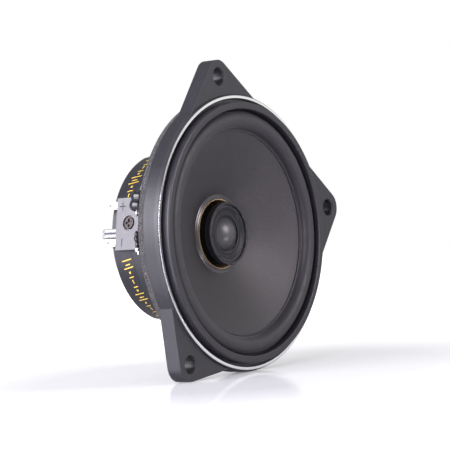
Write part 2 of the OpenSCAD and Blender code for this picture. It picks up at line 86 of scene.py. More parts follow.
# main sizes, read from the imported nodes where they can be
CONE_R = 38.0
ROLL_CREST_R = 41.4
ROLL_CREST_Y = -8.5
LABEL_R = -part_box("magnet_label")[0].x / MM
BLOCK_ANGLE = 168.6
BLOCK_FACE_X = 33.5
BLOCK_BACK_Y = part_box("terminal_block")[1].y / MM
FLOOR_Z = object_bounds()[0][2]
AS_GIVEN = 1000.0         # a noise size that leaves the noise's own coordinates as they are


# ---- shaders ----

class Shader:
    """A node tree with a Principled shader, built up step by step."""

    def __init__(self, name):
        self.material = bpy.data.materials.new(name)
        self.material.use_nodes = True
        self.tree = self.material.node_tree
        self.tree.nodes.clear()
        self.output = self.add("ShaderNodeOutputMaterial")
        self.bsdf = self.add("ShaderNodeBsdfPrincipled")
        self.link(self.bsdf.outputs[0], self.output.inputs[0])
        self.coords = self.add("ShaderNodeTexCoord").outputs["Object"]
        self.normal = None

    def add(self, kind, **settings):
        node = self.tree.nodes.new(kind)
        for key, value in settings.items():
            setattr(node, key, value)
        return node

    def link(self, a, b):
        self.tree.links.new(a, b)

    def set(self, **values):
        for key, value in values.items():
            self.bsdf.inputs[key.replace("_", " ")].default_value = value

    def noise(self, size, detail=3.0, rough=0.5, coords=None, distortion=0.0):
        """Noise whose blobs are about `size` mm across, from 0 to 1."""
        node = self.add("ShaderNodeTexNoise")
        node.inputs["Scale"].default_value = 1000.0 / size
        node.inputs["Detail"].default_value = detail
        node.inputs["Roughness"].default_value = rough
        node.inputs["Distortion"].default_value = distortion
        self.link(coords or self.coords, node.inputs["Vector"])
        return node.outputs["Fac"]

    def cells(self, size):
        """Distance from the middle of the nearest of many cells, each about `size` mm across."""
        node = self.add("ShaderNodeTexVoronoi", feature="F1")
        node.inputs["Scale"].default_value = 1000.0 / size
        self.link(self.coords, node.inputs["Vector"])
        return node.outputs["Distance"]

    def math(self, operation, a, b=0.0):
        node = self.add("ShaderNodeMath", operation=operation)
        for socket, value in zip(node.inputs, (a, b)):
            if isinstance(value, (int, float)):
                socket.default_value = value
            else:
                self.link(value, socket)
        return node.outputs[0]

    def spread(self, value, low, high, to_low=0.0, to_high=1.0):
        """Maps low..high to to_low..to_high, held at the ends."""
        node = self.add("ShaderNodeMapRange")
        for socket, number in zip(node.inputs[1:5], (low, high, to_low, to_high)):
            socket.default_value = number
        self.link(value, node.inputs[0])
        return node.outputs[0]

    def mix(self, factor, a, b):
        node = self.add("ShaderNodeMix", data_type="RGBA")
        self.link(factor, node.inputs[0])
        for socket, value in zip((node.inputs[6], node.inputs[7]), (a, b)):
            if isinstance(value, tuple):
                socket.default_value = (*value, 1.0)
            else:
                self.link(value, socket)
        return node.outputs[2]

    def polar(self):
        """Radius and y in mm, and the angle in turns, round the speaker's axis."""
        parts = self.add("ShaderNodeSeparateXYZ")
        self.link(self.coords, parts.inputs[0])
        x, y, z = parts.outputs
        squares = [self.math("MULTIPLY", axis, axis) for axis in (x, z)]
        radius = self.math("SQRT", self.math("ADD", *squares))
        angle = self.math("DIVIDE", self.math("ARCTAN2", z, x), 2 * math.pi)
        return self.math("MULTIPLY", radius, 1000.0), self.math("MULTIPLY", y, 1000.0), angle

    def vector(self, x, y, z):
        node = self.add("ShaderNodeCombineXYZ")
        for socket, value in zip(node.inputs, (x, y, z)):
            if isinstance(value, (int, float)):
                socket.default_value = value
            else:
                self.link(value, socket)
        return node.outputs[0]

    def stretched(self, *parts):
        """Coordinates for noise: up to three values, each multiplied by its own factor."""
        values = [self.math("MULTIPLY", value, factor) for value, factor in parts]
        return self.vector(*values, *[0.0] * (3 - len(values)))

    def bump(self, height, depth):
        """Raises the surface by up to `depth` mm where height is 1."""
        node = self.add("ShaderNodeBump")
        node.inputs["Distance"].default_value = depth * MM
        node.inputs["Strength"].default_value = 1.0
        self.link(height, node.inputs["Height"])
        if self.normal:
            self.link(self.normal, node.inputs["Normal"])
        self.normal = node.outputs[0]

    def rounded(self, radius):
        """Rounds every edge by `radius` mm, and returns how much of an edge each point is."""
        bevel = self.add("ShaderNodeBevel", samples=6)
        bevel.inputs["Radius"].default_value = radius * MM
        self.normal = bevel.outputs[0]
        flat = self.add("ShaderNodeNewGeometry").outputs["Normal"]
        dot = self.add("ShaderNodeVectorMath", operation="DOT_PRODUCT")
        self.link(bevel.outputs[0], dot.inputs[0])
        self.link(flat, dot.inputs[1])
        return self.spread(dot.outputs["Value"], 0.98, 0.8)

    def finish(self, color=None, roughness=None):
        for name, value in (("Base Color", color), ("Roughness", roughness)):
            if isinstance(value, tuple):
                self.bsdf.inputs[name].default_value = (*value, 1.0)
            elif isinstance(value, (int, float)):
                self.bsdf.inputs[name].default_value = value
            elif value is not None:
                self.link(value, self.bsdf.inputs[name])
        if self.normal:
            self.link(self.normal, self.bsdf.inputs["Normal"])
        return self.material


def scaled(color, k):
    return tuple(min(1.0, c * k) for c in color)


def plain(name, color, rough, metal=0.0, specular=0.5, vary=0.15, patch=9.0, grain=0.35, depth=0.006,
          edge=0.0, edge_highlight_gain=1.8, coat=0.0, rough_vary=0.07):
    """A moulded or plated finish: mottled colour and gloss, fine grain, and edges painted lighter in patches as
    a highlight.
    """
    s = Shader(name)
    s.set(Metallic=metal, Specular_IOR_Level=specular, Coat_Weight=coat, Coat_Roughness=0.12)
    highlit_edge = s.rounded(edge) if edge else None
    tone = s.mix(s.noise(patch, 4.0), scaled(color, 1 - vary), scaled(color, 1 + vary))
    gloss = s.spread(s.noise(patch * 0.4, 5.0, 0.6), 0.3, 0.7, rough - rough_vary, rough + rough_vary)
    # painted highlight: the edges are lightened, in patches
    if highlit_edge:
        highlit_edge = s.math("MULTIPLY", highlit_edge, s.spread(s.noise(1.6, 4.0), 0.35, 0.65, 0.35, 1.0))
        tone = s.mix(highlit_edge, tone, scaled(color, edge_highlight_gain))
    s.bump(s.noise(grain, 2.0, 0.6), depth)
    return s.finish(tone, gloss)


def cast_black(name, color):
    """Powder coat: satin, with a fine orange peel and a highlight painted slightly brighter along the edges."""
    s = Shader(name)
    s.set(Specular_IOR_Level=0.5)
    highlit_edge = s.rounded(0.3)
    tone = s.mix(s.noise(14.0, 4.0), scaled(color, 0.85), scaled(color, 1.15))
    speck = s.spread(s.noise(0.22, 1.0), 0.68, 0.78)
    tone = s.mix(speck, tone, scaled(color, 2.2))
    # painted highlight along the edges
    tone = s.mix(s.math("MULTIPLY", highlit_edge, 0.7), tone, scaled(color, 2.6))
    gloss = s.spread(s.noise(5.0, 5.0, 0.65), 0.3, 0.7, 0.36, 0.46)
    s.bump(s.noise(1.1, 2.0), 0.014)
    s.bump(s.noise(0.32, 2.0), 0.014)
    return s.finish(tone, gloss)


def bright_ring():
    """Machined aluminium, with fine turning marks that run round the axis."""
    s = Shader("bright_ring")
    s.set(Metallic=1.0)
    radius, y, angle = s.polar()
    lines = s.noise(AS_GIVEN, 4.0, 0.7, s.stretched((radius, 9.0), (y, 9.0), (angle, 2.0)))
    s.bump(lines, 0.0004)
    tone = s.mix(lines, (0.86, 0.86, 0.88), (0.95, 0.95, 0.96))
    return s.finish(tone, s.spread(s.noise(6.0, 4.0), 0.3, 0.7, 0.13, 0.20))


def rubber():
    """Soft matt rubber, with a bloom that catches the light at grazing angles."""
    s = Shader("surround_rubber")
    s.set(Specular_IOR_Level=0.42, Sheen_Weight=0.12, Sheen_Roughness=0.45)
    tone = s.mix(s.noise(7.0, 5.0, 0.6), (0.0130, 0.0122, 0.0155), (0.0195, 0.0184, 0.0230))
    dust = s.spread(s.noise(0.3, 2.0), 0.70, 0.80)
    tone = s.mix(s.math("MULTIPLY", dust, 0.4), tone, (0.06, 0.06, 0.065))
    s.bump(s.noise(0.35, 3.0, 0.6), 0.010)
    return s.finish(tone, s.spread(s.noise(2.5, 4.0), 0.3, 0.7, 0.47, 0.58))


def cone_grain():
    """Mineral-filled polypropylene: a pebbled matt skin, with pale specks painted in as glints of single
    grains.
    """
    s = Shader("cone_plastic")
    s.set(Specular_IOR_Level=0.5)
    tone = s.mix(s.noise(11.0, 4.0), (0.0175, 0.0155, 0.0190), (0.0240, 0.0215, 0.0258))
    grain = s.noise(0.42, 2.0, 0.65)
    # painted glints: pale specks in the colour
    speck = s.spread(s.noise(0.30, 1.0), 0.64, 0.76)
    tone = s.mix(s.math("MULTIPLY", speck, 0.55), tone, (0.10, 0.092, 0.098))
    s.bump(grain, 0.032)
    s.bump(s.cells(0.5), 0.020)
    gloss = s.spread(s.noise(0.5, 3.0, 0.7), 0.3, 0.7, 0.46, 0.60)
    return s.finish(tone, gloss)


def foam():
    """Open-cell foam: fine pits of two sizes with shade painted dark into them, and single pale cell walls on a
    dusty dark tone.
    """
    s = Shader("foam")
    s.set(Specular_IOR_Level=0.2, Sheen_Weight=0.1)
    pits = s.spread(s.cells(0.42), 0.1, 0.6)
    small = s.spread(s.cells(0.22), 0.1, 0.6)
    # painted shade: darkest in the middle of each pit
    tone = s.mix(pits, (0.004, 0.004, 0.005), (0.055, 0.052, 0.054))
    tone = s.mix(s.spread(s.noise(0.40, 2.0), 0.54, 0.70), tone, (0.16, 0.15, 0.15))
    s.bump(pits, 0.09)
    s.bump(small, 0.04)
    return s.finish(tone, 0.9)


def zinc(name):
    """Zinc-plated steel: bright, a little blue, with fine drawn lines round the axis and soft stains."""
    color, rough = (0.62, 0.64, 0.67), 0.3
    s = Shader(name)
    s.set(Metallic=1.0)
    highlit_edge = s.rounded(0.25)
    radius, y, angle = s.polar()
    lines = s.noise(AS_GIVEN, 4.0, 0.7, s.stretched((radius, 3.0), (y, 3.0), (angle, 6.0)))
    stain = s.noise(8.0, 5.0, 0.6)
    tone = s.mix(stain, scaled(color, 0.86), scaled(color, 1.12))
    tone = s.mix(s.math("MULTIPLY", lines, 0.3), tone, scaled(color, 1.3))
    # painted highlight: the edges are lighter
    tone = s.mix(highlit_edge, tone, scaled(color, 1.35))
    s.bump(lines, 0.006)
    return s.finish(tone, s.spread(stain, 0.3, 0.7, rough - 0.07, rough + 0.1))


def cloth(name, color, thread, depth, turns):
    """Woven cloth, varnished: threads run out from the axis and round it."""
    s = Shader(name)
    s.set(Specular_IOR_Level=0.4, Sheen_Weight=0.2)
    radius, _, angle = s.polar()
    warp = s.math("SINE", s.math("MULTIPLY", angle, turns * 2 * math.pi))
    weft = s.math("SINE", s.math("MULTIPLY", radius, 2 * math.pi / thread))
    weave = s.spread(s.math("MULTIPLY", warp, weft), -1.0, 1.0)
    s.bump(weave, depth)
    tone = s.mix(weave, scaled(color, 0.62), scaled(color, 1.15))
    tone = s.mix(s.spread(s.noise(4.0, 4.0), 0.3, 0.7), tone, scaled(color, 0.8))
    return s.finish(tone, 0.62)


def silk():
    """Coated silk of the tweeter's dome: a very fine weave under a soft, slightly tacky coat."""
    s = Shader("dome_silk")
    s.set(Specular_IOR_Level=0.6, Coat_Weight=0.35, Coat_Roughness=0.38)
    thread = 0.32 * MM
    parts = s.add("ShaderNodeSeparateXYZ")
    s.link(s.coords, parts.inputs[0])
    x, _, z = parts.outputs
    threads = [s.math("SINE", s.math("MULTIPLY", axis, 2 * math.pi / thread)) for axis in (x, z)]
    weave = s.spread(s.math("MULTIPLY", *threads), -1.0, 1.0)
    s.bump(weave, 0.006)
    tone = s.mix(weave, (0.020, 0.0195, 0.023), (0.034, 0.033, 0.037))
    return s.finish(tone, s.spread(s.noise(1.5, 4.0), 0.3, 0.7, 0.38, 0.46))


def printed_band():
    """Black vinyl band of the magnet under a clear glossy film, slightly uneven and scuffed."""
    s = Shader("label_black")
    s.set(Specular_IOR_Level=0.22, Coat_Weight=0.25, Coat_Roughness=0.08)
    highlit_edge = s.rounded(0.1)
    tone = s.mix(s.noise(6.0, 5.0, 0.6), (0.015, 0.0145, 0.018), (0.023, 0.022, 0.027))
    scuff = s.spread(s.noise(0.5, 4.0, 0.7, distortion=1.0), 0.66, 0.78)
    tone = s.mix(s.math("MULTIPLY", scuff, 0.35), tone, (0.12, 0.12, 0.13))
    # painted highlight: the band's edges are lighter
    tone = s.mix(highlit_edge, tone, (0.10, 0.10, 0.11))
    s.bump(s.noise(1.8, 3.0), 0.008)
    return s.finish(tone, s.spread(s.noise(3.0, 4.0), 0.3, 0.7, 0.36, 0.48))


def amber_film():
    """Polyimide film of the voice coil's former."""
    s = Shader("former_film")
    s.set(Specular_IOR_Level=0.5, Coat_Weight=0.5, Coat_Roughness=0.15)
    _, y, angle = s.polar()
    bands = s.noise(AS_GIVEN, 3.0, 0.6, s.stretched((angle, 26.0), (y, 1.6)))
    tone = s.mix(bands, (0.36, 0.22, 0.10), (0.68, 0.47, 0.26))
    s.bump(bands, 0.02)
    return s.finish(tone, 0.32)


def enamelled_copper():
    """Copper wire under a clear hard enamel."""
    s = Shader("coil_copper")
    s.set(Metallic=0.9, Coat_Weight=0.6, Coat_Roughness=0.1)
    tone = s.mix(s.noise(1.4, 4.0), (0.42, 0.15, 0.055), (0.66, 0.30, 0.12))
    return s.finish(tone, s.spread(s.noise(0.8, 3.0), 0.3, 0.7, 0.24, 0.36))


looks = {
    "basket_black": cast_black("basket_black", (0.0150, 0.0144, 0.0185)),
    "trim_bright": bright_ring(),
    "clamp_black": plain("clamp_black", (0.0150, 0.0140, 0.0185), 0.40, edge=0.25, edge_highlight_gain=2.0,
                         grain=0.5, depth=0.008, vary=0.12),
    "foam": foam(),
    "surround_rubber": rubber(),
    "spider_cloth": cloth("spider_cloth", (0.52, 0.36, 0.13), 0.55, 0.09, 150),
    "zinc_steel": zinc("zinc_steel"),
    "magnet_plated": zinc("plated_magnet"),
    "neodymium": plain("neodymium", (0.55, 0.56, 0.58), 0.25, metal=1.0, edge=0.15, edge_highlight_gain=1.3),
    "label_black": printed_band(),
    "screw_steel": plain("screw_steel", (0.055, 0.047, 0.046), 0.38, metal=1.0, edge=0.14, edge_highlight_gain=2.2,
                         vary=0.35, patch=1.4, grain=0.4, depth=0.02),
    "block_grey": plain("block_grey", (0.108, 0.107, 0.112), 0.38, edge=0.2, edge_highlight_gain=1.5,
                        grain=0.4, depth=0.012, vary=0.10, patch=5.0),
    "spade_tin": plain("spade_tin", (0.66, 0.615, 0.51), 0.36, metal=0.45, edge=0.12, edge_highlight_gain=1.2,
                       vary=0.08, patch=2.5, grain=0.3, depth=0.006),
    "capacitor_sleeve": plain("capacitor_sleeve", (0.010, 0.010, 0.012), 0.17, specular=0.5, coat=0.25,
                              vary=0.2, patch=3.0, grain=1.4, depth=0.05),
    "tinned_copper": plain("tinned_copper", (0.70, 0.70, 0.72), 0.27, metal=1.0,
                           vary=0.15, patch=1.5, grain=0.25, depth=0.01),
    "wire_sleeve": plain("wire_sleeve", (0.40, 0.40, 0.42), 0.28, metal=0.35, coat=0.4,
                         vary=0.10, patch=2.5, grain=0.5, depth=0.015),
    "tweeter_black": plain("tweeter_black", (0.0155, 0.0155, 0.0185), 0.38, edge=0.18, edge_highlight_gain=2.2,
                           grain=0.4, depth=0.006, vary=0.12, patch=4.0),
    "dome_silk": silk(),
    "cone_plastic": cone_grain(),
    "former_film": amber_film(),
    "coil_copper": enamelled_copper(),
    "glue_black": plain("glue_black", (0.042, 0.039, 0.045), 0.30, specular=0.45, coat=0.15,
                        vary=0.25, patch=1.6, grain=1.0, depth=0.05),
}

slot_of = {part["node"]: part["material_slot"] for part in frame["record"]["subparts"]}
for name, node in nodes.items():
    node.data.materials.clear()
    node.data.materials.append(looks[slot_of[name]])

# the tweeter's face ring and its can are darker than its other black parts, with a strong highlight painted
# along their edges
can_finish = {"grain": 0.4, "depth": 0.006, "vary": 0.12, "patch": 4.0}
# painted highlight: very bright edges on the face ring and the can
nodes["tweeter_face_ring"].data.materials[0] = plain(
    "tweeter_face", (0.010, 0.0098, 0.0115), 0.42, specular=0.22, edge=0.45, edge_highlight_gain=26.0, **can_finish)
nodes["tweeter_housing"].data.materials[0] = plain(
    "tweeter_can", (0.0045, 0.0043, 0.0050), 0.40, specular=0.18, edge=0.5, edge_highlight_gain=40.0, **can_finish)


# ---- making pieces ----

def piece(name, verts, faces, slot, body=None, material=None, smooth=True, replaced=()):
    """A new mesh piece from points in mm. With a body, it rides on it."""
    mesh = bpy.data.meshes.new(name)
    mesh.from_pydata([Vector(v) * MM for v in verts], [], faces)
    mesh.update()
    mesh.shade_smooth() if smooth else mesh.shade_flat()
    obj = bpy.data.objects.new(name, mesh)
    bpy.context.scene.collection.objects.link(obj)
    mesh.materials.append(material or looks[slot])
    if body:
        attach(obj, body)
    if replaced:
        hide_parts(*replaced)
    return obj


def lathe(profile, segments):
    """A closed profile of (radius, y) points, turned round the speaker's axis."""
    verts, faces, count = [], [], len(profile)
    for i in range(segments):
        a = 2 * math.pi * i / segments
        verts += [(r * math.cos(a), y, r * math.sin(a)) for r, y in profile]
    for i in range(segments):
        here, there = i * count, (i + 1) % segments * count
        for k in range(count):
            n = (k + 1) % count
            faces.append((here + k, here + n, there + n, there + k))
    return verts, faces


def smooth_path(points, steps=8):
    """Catmull-Rom curve through the points."""
    p = [Vector(q) for q in points]
    out = []
    for i in range(len(p) - 1):
        a, b, c, d = p[max(i - 1, 0)], p[i], p[i + 1], p[min(i + 2, len(p) - 1)]
        for k in range(steps):
            t = k / steps
            square, cube = 2 * a - 5 * b + 4 * c - d, 3 * b - a - 3 * c + d
            out.append(0.5 * (2 * b + (c - a) * t + square * t * t + cube * t ** 3))
    return out + [p[-1]]


def frames_along(path):
    """Two unit vectors across the path at each point, with no twist."""
    last = len(path) - 1
    across = Vector((0.31, 0.17, 0.93))
    out = []
    for i in range(last + 1):
        d = (path[min(i + 1, last)] - path[max(i - 1, 0)]).normalized()
        across = (across - across.dot(d) * d).normalized()
        out.append((across.copy(), d.cross(across)))
    return out


def between_rings(rings, sides, flip=False):
    """Four-sided faces between each ring of points and the next."""
    faces = []
    for i in range(rings - 1):
        for k in range(sides):
            n = (k + 1) % sides
            a, b, c, d = i * sides + k, i * sides + n, (i + 1) * sides + n, (i + 1) * sides + k
            faces.append((a, d, c, b) if flip else (a, b, c, d))
    return faces


def tube(path, radius, sides):
    """A closed round tube along a path."""
    verts = []
    for point, (u, v) in zip(path, frames_along(path)):
        for k in range(sides):
            a = 2 * math.pi * k / sides
            verts.append(point + radius * (math.cos(a) * u + math.sin(a) * v))
    faces = between_rings(len(path), sides)
    faces.append(tuple(reversed(range(sides))))
    faces.append(tuple(range((len(path) - 1) * sides, len(path) * sides)))
    return verts, faces


def joined(parts):
    """The points and faces of several meshes as one."""
    verts, faces = [], []
    for v, f in parts:
        faces += [tuple(i + len(verts) for i in face) for face in f]
        verts += list(v)
    return verts, faces


def at(r, angle, y):
    """A point at a radius and an angle in degrees round the speaker's axis."""
    a = math.radians(angle)
    return Vector((r * math.cos(a), y, r * math.sin(a)))


def from_block(angle, x, y, z):
    """A point given in the terminal block's own directions: x outwards, z sideways."""
    a = math.radians(angle)
    return Vector((x * math.cos(a) - z * math.sin(a), y, x * math.sin(a) + z * math.cos(a)))


def soft_step(t):
    """Goes from 0 to 1 as t does, and starts and ends gently."""
    t = min(1.0, max(0.0, t))
    return t * t * (3 - 2 * t)


def flex(obj, share):
    """Bakes a piece's transform into its points and works out each point's share, from the chassis (0) to the
    other body (1); the shares are not put to use.
    """
    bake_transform(obj)
    weights = [share(v.co / MM) for v in obj.data.vertices]


def flex_by_radius(obj, moving_r, still_r):
    """Works out shares of a round piece's points by radius, 1 at moving_r and 0 at still_r, through flex."""
    flex(obj, lambda co: soft_step((still_r - math.hypot(co.x, co.z)) / (still_r - moving_r)))


# ---- surround ----

def surround_profile():
    """The half roll, from a thin lip over the cone's edge to a flat flange under the clamp ring."""
    steps, roundness, rubber_thick = 26, 0.92, 0.5
    inner_w, outer_w = ROLL_CREST_R - CONE_R - 0.35, 3.0
    front, back = [], []
    for i in range(steps + 1):
        a = math.pi * i / steps
        inner = a < math.pi / 2
        w = inner_w if inner else outer_w
        rise = max(0.0, math.sin(a)) ** roundness
        foot = -5.45 if inner else -6.08
        front.append((ROLL_CREST_R - w * math.cos(a), foot - (foot - ROLL_CREST_Y) * rise))
        w -= rubber_thick
        foot = -5.03 if inner else -5.63
        back.append((ROLL_CREST_R - w * math.cos(a), foot - (foot - ROLL_CREST_Y - rubber_thick) * rise))
    # the lip ends in a fine groove before the roll starts
    lip = [(37.45, -5.06), (37.45, -5.24), (37.55, -5.33), (37.72, -5.37), (37.88, -5.34), (37.96, -5.22),
           (38.06, -5.22)]
    flange = [(46.0, -6.08), (47.6, -6.08), (47.7, -6.0), (47.7, -5.66), (47.6, -5.62), (45.5, -5.62)]
    return lip + front + flange + back[::-1]


surround = piece("surround_roll", *lathe(surround_profile(), 256), "surround_rubber", replaced=["surround"])
flex_by_radius(surround, 38.3, 44.2)


# ---- spider ----

def spider_profile():
    """Four round waves between a collar on the coil's former and a flat landing on the basket."""
    waves, steps, half_thick = 4, 72, 0.17
    start_r, end_r, middle_y, swing = 14.4, 30, 8.6, 0.85
    line = []
    for i in range(steps + 1):
        t = i / steps
        line.append((start_r + t * (end_r - start_r), middle_y + swing * math.sin(2 * math.pi * waves * t)))
    collar = [(13.0, 8.2), (13.5, 8.45)]
    landing = [(30.8, 8.62), (34.1, 8.62)]
    path = collar + line + landing
    return [(r, y - half_thick) for r, y in path] + [(r, y + half_thick) for r, y in reversed(path)]


spider = piece("spider_cloth", *lathe(spider_profile(), 224), "spider_cloth", replaced=["spider"])
flex_by_radius(spider, 14.6, 30.4)


# ---- wound voice coil ----

def winding_profile(inner, outer, start, end, wire):
    """A sleeve whose outside is turn on turn of round wire."""
    arc_steps = 5
    turns = int((end - start) / wire)
    pitch = (end - start) / turns
    out = []
    for i in range(turns):
        for k in range(arc_steps):
            a = math.pi * k / arc_steps
            r = outer - pitch * 0.5 + pitch * 0.5 * math.sin(a)
            out.append((r, start + pitch * (i + 0.5 - 0.5 * math.cos(a))))
    return [(inner, start), *out, (outer - pitch * 0.5, end), (inner, end)]


coil_lo, coil_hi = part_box("voice_coil")
coil_out, coil_thick, wire_thick = coil_hi.x / MM, 0.49, 0.24
winding = winding_profile(coil_out - coil_thick, coil_out, coil_lo.y / MM, coil_hi.y / MM, wire_thick)
piece("voice_coil_winding", *lathe(winding, 144), "coil_copper", CONE, replaced=["voice_coil"])


# ---- tweeter's suspension ----

def tweeter_roll_profile():
    """A small half roll between the dome's edge and the face ring."""
    steps, crest_r, half_w, height, thick = 12, 7.25, 0.45, 0.3, 0.14
    inner_r, outer_r, foot = 6.72, 7.95, 2.40
    arc = []
    for i in range(steps + 1):
        a = math.pi * i / steps
        arc.append((crest_r - half_w * math.cos(a), foot - height * math.sin(a)))
    back = [(r, y + thick) for r, y in reversed(arc)]
    return [(inner_r, foot), *arc, (outer_r, foot), (outer_r, foot + thick), *back, (inner_r, foot + thick)]


roll = piece("tweeter_roll", *lathe(tweeter_roll_profile(), 128), "dome_silk",
             replaced=["tweeter_suspension"])
flex_by_radius(roll, 6.8, 7.85)


# ---- braided leads from the spades to the cone ----

def twisted(path, runs):
    """Four round strands twisted round a path. runs holds each point's distance along it."""
    strand_r, offset, pitch, count = 0.20, 0.23, 2.2, 4
    frames, parts = frames_along(path), []
    for k in range(count):
        line = []
        for point, (u, v), run in zip(path, frames, runs):
            a = 2 * math.pi * (run / pitch + k / count)
            line.append(point + offset * (math.cos(a) * u + math.sin(a) * v))
        parts.append(tube(line, strand_r, 8))
    return joined(parts)


def tinsel(name, node, points):
    """A braided lead through (radius, angle, y) points, from the spade to the cone."""
    stiff_end = 0.08
    path = smooth_path([at(*p) for p in points], 16)
    runs = np.cumsum([0.0] + [(b - a).length for a, b in zip(path, path[1:])])
    lead = piece(name, *twisted(path, runs), "tinned_copper", replaced=[node])
    line = np.array([list(p) for p in path])

    def share(co):
        nearest = int(np.argmin(((line - np.array(co)) ** 2).sum(1)))
        return soft_step((runs[nearest] / runs[-1] - stiff_end) / (1 - 2 * stiff_end))

    flex(lead, share)


tinsel("tinsel_upper", "positive_tinsel_lead", [
    (33.8, 156.9, 14.9), (34.3, 155, 12.6), (36.2, 149.6, 9), (37, 144, 6.2), (35, 138, 4.2),
    (31, 134, 3.6), (26, 132, 4.4), (21.5, 131, 5.1), (19, 131, 4.75)])
tinsel("tinsel_lower", "negative_tinsel_lead", [
    (33.8, 180.3, 14.9), (34.3, 182.2, 12.6), (36.2, 187.6, 9), (37, 193.2, 6.2), (35, 199.4, 4.2),
    (31, 203.4, 3.6), (26, 205.4, 4.4), (21.5, 206.4, 5.1), (19, 206.4, 4.75)])


# ---- wires, capacitor, glue and solder by the terminal block ----

def block(x, y, z):
    """A point in the terminal block's directions, at the block's own angle."""
    return from_block(BLOCK_ANGLE, x, y, z)


# each wire leaves the block, turns over its edge, runs across the yoke's back and dives into the post
wires = []
wire_r, yoke_y = 0.78, 33.6
for side, at_block in ((-1, 2.45), (1, 4.3)):
    in_post = side * 0.84
    route = [(32.5, BLOCK_BACK_Y - 3.5, at_block), (32.5, 29.5, at_block), (32.5, 32, at_block),
             (32, 33.2, at_block), (30.6, yoke_y, at_block), (26, yoke_y, at_block * 0.9 + side * 0.2),
             (12, yoke_y, side * 0.9 + 0.8), (3, yoke_y, in_post), (1, 33.1, in_post), (0, 32, in_post),
             (0, 29, in_post), (0, 20, in_post), (0, 12.4, in_post)]
    wires.append(tube(smooth_path([block(*p) for p in route]), wire_r, 20))
piece("tweeter_wire_pair", *joined(wires), "wire_sleeve", CHASSIS, replaced=["tweeter_wires"])


CAP_ANGLE, CAP_X, CAP_Y, CAP_HALF = 158.3, 38.3, 13.2, 3.7


def capacitor_shape():
    """A small capacitor in a black shrunk sleeve: two swollen halves with a waist between them."""
    waist, swell, steps, sides = 2.35, 0.65, 14, 48
    fullness, shoulder = 0.55, 0.35
    half = [(0.0, CAP_HALF), (1.3, CAP_HALF - 0.02), (2.0, CAP_HALF - 0.12)]
    for i in range(steps + 1):
        t = 1 - i / steps
        bulge = max(0.0, math.sin(math.pi * (0.03 + 0.97 * t))) ** fullness
        half.append((waist + swell * bulge, (CAP_HALF - shoulder) * t))
    profile = half + [(r, -z) for r, z in reversed(half[:-1])]
    verts = []
    for r, z in profile:
        for k in range(sides):
            a = 2 * math.pi * k / sides
            verts.append(from_block(CAP_ANGLE, CAP_X + r * math.cos(a), CAP_Y + r * math.sin(a), z))
    return verts, between_rings(len(profile), sides, flip=True)


piece("capacitor_body", *capacitor_shape(), "capacitor_sleeve", CHASSIS, replaced=["crossover_capacitor"])
lead_routes = [
    [(CAP_X, CAP_Y, 3.6), (CAP_X, CAP_Y, 4.5), (37.5, 13.6, 5.2), (35.7, 14.2, 4), (34.5, 14.6, 1.8),
     (34.04, 14.8, -0.06)],
    [(CAP_X, CAP_Y, -3.6), (CAP_X - 0.2, 13.3, -4.8), (36.8, 13.9, -7.4), (34.94, 14.6, -10.32)]]
lead_r = 0.3
cap_leads = [tube(smooth_path([from_block(CAP_ANGLE, *p) for p in route]), lead_r, 12) for route in lead_routes]
piece("capacitor_wires", *joined(cap_leads), "tinned_copper", CHASSIS, replaced=["capacitor_leads"])


def lump(centre, radii, seed):
    """A drop of glue or solder: a sphere pulled out of round, in the block's directions."""
    rings, sides, unevenness, blobs, apart = 19, 24, 0.18, 1.7, 7.1
    verts = []
    for i in range(rings):
        p = math.pi * i / (rings - 1)
        for k in range(sides):
            a = 2 * math.pi * k / sides
            d = Vector((math.sin(p) * math.cos(a), math.cos(p), math.sin(p) * math.sin(a)))
            swell = 1 + unevenness * noise.noise(d * blobs + Vector((seed * apart, 0, 0)))
            verts.append(block(*(c + r * part * swell for c, r, part in zip(centre, radii, d))))
    return verts, between_rings(rings, sides)


piece("glue_drops", *joined([
    lump((34.3, 15.9, 4.6), (1.0, 0.9, 1.2), 1), lump((34.6, 15.5, 6.2), (1.2, 1.1, 1.3), 2),
    lump((34.2, 15.7, 8.2), (0.8, 0.8, 1.3), 8), lump((34.2, 15.0, -5.6), (1.2, 1.0, 1.2), 3),
    lump((34.6, 14.6, -9.6), (1.0, 0.9, 1.1), 4)]), "capacitor_sleeve", CHASSIS)
piece("solder_drops", *joined([
    lump((33.9, 15.8, 10.1), (0.75, 0.8, 1.0), 5), lump((33.6, 15.3, 11.2), (0.5, 0.55, 0.9), 6),
    lump((33.3, 14.9, -6.9), (0.7, 0.7, 0.8), 7)]), "tinned_copper", CHASSIS)


# ---- marks on the band and on the block ----

def band_mark(corners, radius):
    """A thin four-sided mark laid on a cylinder: corners are (mm round it from angle 0, y)."""
    verts, faces, cuts, thick = [], [], 4, 0.035
    for layer in (0.0, thick):
        for u in range(cuts + 1):
            for v in (0, 1):
                t = u / cuts
                a, b = (corners[0], corners[1]) if v == 0 else (corners[3], corners[2])
                s, y = a[0] + (b[0] - a[0]) * t, a[1] + (b[1] - a[1]) * t
                verts.append(at(radius + layer, math.degrees(s / radius), y))
    top = 2 * (cuts + 1)
    for u in range(cuts):
        k = 2 * u
        faces.append((top + k, top + k + 2, top + k + 3, top + k + 1))
        faces.append((k, k + 1, k + 3, k + 2))
        faces.append((k, k + 2, top + k + 2, top + k))
        faces.append((k + 1, top + k + 1, top + k + 3, k + 3))
    end = 2 * cuts
    faces.append((0, top, top + 1, 1))
    faces.append((end, end + 1, top + end + 1, top + end))
    return verts, faces


def slanted(s, y, width, height, lean):
    """The corners of a leaning four-sided mark that starts s mm round the band."""
    return [(s, y), (s + width, y), (s + width + lean, y + height), (s + lean, y + height)]


